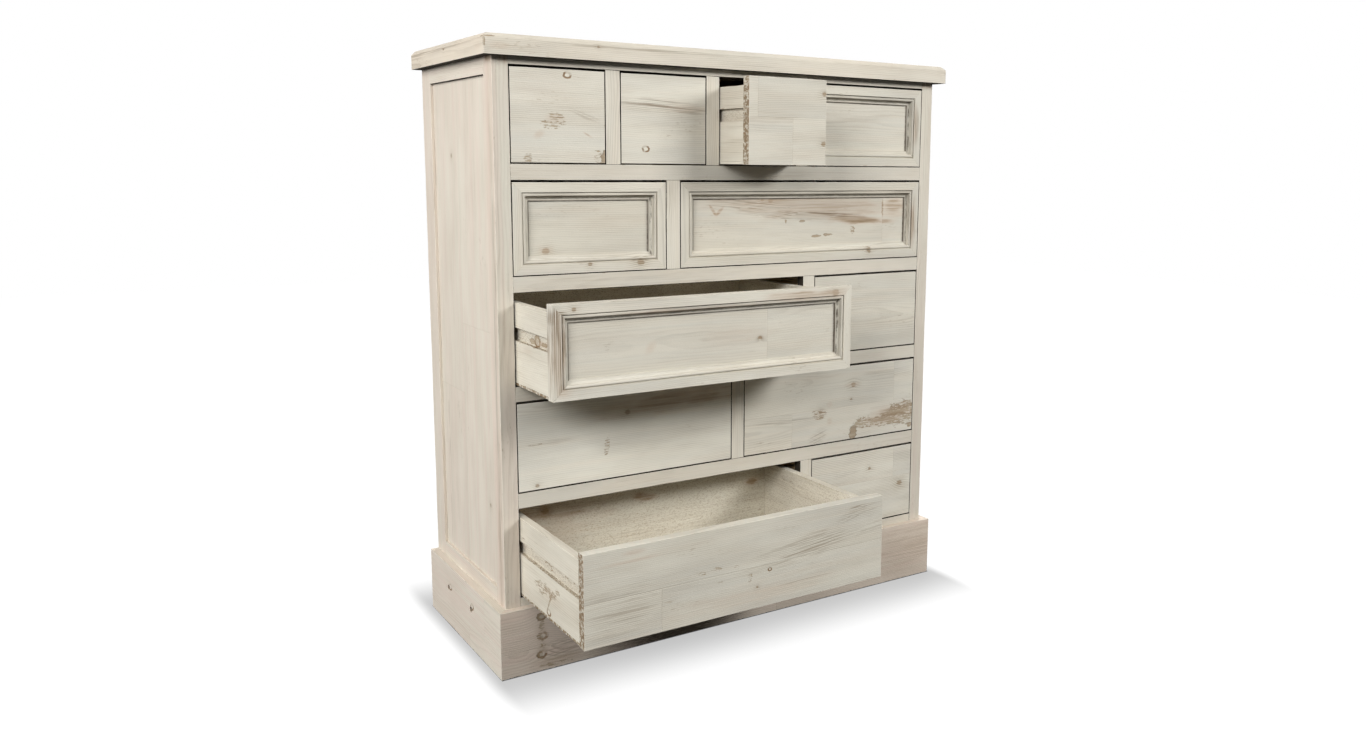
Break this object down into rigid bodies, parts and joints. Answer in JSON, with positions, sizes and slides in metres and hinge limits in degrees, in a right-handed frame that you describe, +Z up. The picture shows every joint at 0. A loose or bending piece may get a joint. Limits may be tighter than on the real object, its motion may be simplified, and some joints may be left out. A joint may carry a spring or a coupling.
{
  "type": "semainier chest of drawers",
  "caption": "Tall softwood chest of drawers in a whitewashed finish, with plain and moulded frame-and-panel drawer fronts, panelled sides, chamfered top and plain plinth.",
  "frame": {"origin": "on the floor, under the middle of the carcass, on the underside of the middle bearer", "axes": "+Z up, -Y towards the drawer fronts, +X to the right as seen from the front"},
  "size_m": [1.05, 0.672, 1.16],
  "materials": {
    "painted_case": "whitewashed, worn at the edges",
    "painted_drawer_front": "whitewashed, worn at the edges",
    "painted_drawer_box": "whitewashed, unsanded",
    "plywood": "bare",
    "bare_pine": "bare",
    "screw_steel": "dull"
  },
  "bodies": {
    "case": {"back_panel": "plywood", "drawer_runners": "bare_pine", "floor_bearers": "bare_pine", "floor_panel": "plywood", "front_dividers": "painted_case", "front_posts": "painted_case", "front_rails": "painted_case", "partitions": "bare_pine", "plinth_front": "painted_case", "plinth_left": "painted_case", "plinth_right": "painted_case", "plinth_screws": "screw_steel", "rear_posts": "painted_case", "rear_rails": "bare_pine", "side_left_panel": "painted_case", "side_left_rails": "painted_case", "side_right_panel": "painted_case", "side_right_rails": "painted_case", "top_boards": "painted_case", "top_edging": "painted_case"},
    "drawer_1a": {"drawer_1a_bottom": "plywood", "drawer_1a_box": "painted_drawer_box", "drawer_1a_front": "painted_drawer_front"},
    "drawer_1b": {"drawer_1b_bottom": "plywood", "drawer_1b_box": "painted_drawer_box", "drawer_1b_front": "painted_drawer_front"},
    "drawer_1c": {"drawer_1c_bottom": "plywood", "drawer_1c_box": "painted_drawer_box", "drawer_1c_front": "painted_drawer_front"},
    "drawer_1d": {"drawer_1d_bottom": "plywood", "drawer_1d_box": "painted_drawer_box", "drawer_1d_front_frame": "painted_drawer_front", "drawer_1d_front_panel": "painted_drawer_front"},
    "drawer_2a": {"drawer_2a_bottom": "plywood", "drawer_2a_box": "painted_drawer_box", "drawer_2a_front_frame": "painted_drawer_front", "drawer_2a_front_panel": "painted_drawer_front"},
    "drawer_2b": {"drawer_2b_bottom": "plywood", "drawer_2b_box": "painted_drawer_box", "drawer_2b_front_frame": "painted_drawer_front", "drawer_2b_front_panel": "painted_drawer_front"},
    "drawer_3a": {"drawer_3a_bottom": "plywood", "drawer_3a_box": "painted_drawer_box", "drawer_3a_front_frame": "painted_drawer_front", "drawer_3a_front_panel": "painted_drawer_front"},
    "drawer_3b": {"drawer_3b_bottom": "plywood", "drawer_3b_box": "painted_drawer_box", "drawer_3b_front": "painted_drawer_front"},
    "drawer_4a": {"drawer_4a_bottom": "plywood", "drawer_4a_box": "painted_drawer_box", "drawer_4a_front": "painted_drawer_front"},
    "drawer_4b": {"drawer_4b_bottom": "plywood", "drawer_4b_box": "painted_drawer_box", "drawer_4b_front": "painted_drawer_front"},
    "drawer_5a": {"drawer_5a_bottom": "plywood", "drawer_5a_box": "painted_drawer_box", "drawer_5a_front": "painted_drawer_front"},
    "drawer_5b": {"drawer_5b_bottom": "plywood", "drawer_5b_box": "painted_drawer_box", "drawer_5b_front": "painted_drawer_front"}
  },
  "joints": [
    {"name": "drawer_1a_slide", "type": "slide", "parent": "case", "child": "drawer_1a", "axis": [0, -1, 0], "range_m": [0, 0.3]},
    {"name": "drawer_1b_slide", "type": "slide", "parent": "case", "child": "drawer_1b", "axis": [0, -1, 0], "range_m": [0, 0.3]},
    {"name": "drawer_1c_slide", "type": "slide", "parent": "case", "child": "drawer_1c", "axis": [0, -1, 0], "range_m": [-0.103, 0.197]},
    {"name": "drawer_1d_slide", "type": "slide", "parent": "case", "child": "drawer_1d", "axis": [0, -1, 0], "range_m": [0, 0.3]},
    {"name": "drawer_2a_slide", "type": "slide", "parent": "case", "child": "drawer_2a", "axis": [0, -1, 0], "range_m": [0, 0.3]},
    {"name": "drawer_2b_slide", "type": "slide", "parent": "case", "child": "drawer_2b", "axis": [0, -1, 0], "range_m": [0, 0.3]},
    {"name": "drawer_3a_slide", "type": "slide", "parent": "case", "child": "drawer_3a", "axis": [0, -1, 0], "range_m": [-0.1655, 0.1345]},
    {"name": "drawer_3b_slide", "type": "slide", "parent": "case", "child": "drawer_3b", "axis": [0, -1, 0], "range_m": [0, 0.3]},
    {"name": "drawer_4a_slide", "type": "slide", "parent": "case", "child": "drawer_4a", "axis": [0, -1, 0], "range_m": [0, 0.3]},
    {"name": "drawer_4b_slide", "type": "slide", "parent": "case", "child": "drawer_4b", "axis": [0, -1, 0], "range_m": [0, 0.3]},
    {"name": "drawer_5a_slide", "type": "slide", "parent": "case", "child": "drawer_5a", "axis": [0, -1, 0], "range_m": [-0.277, 0.023]},
    {"name": "drawer_5b_slide", "type": "slide", "parent": "case", "child": "drawer_5b", "axis": [0, -1, 0], "range_m": [0, 0.3]}
  ]
}
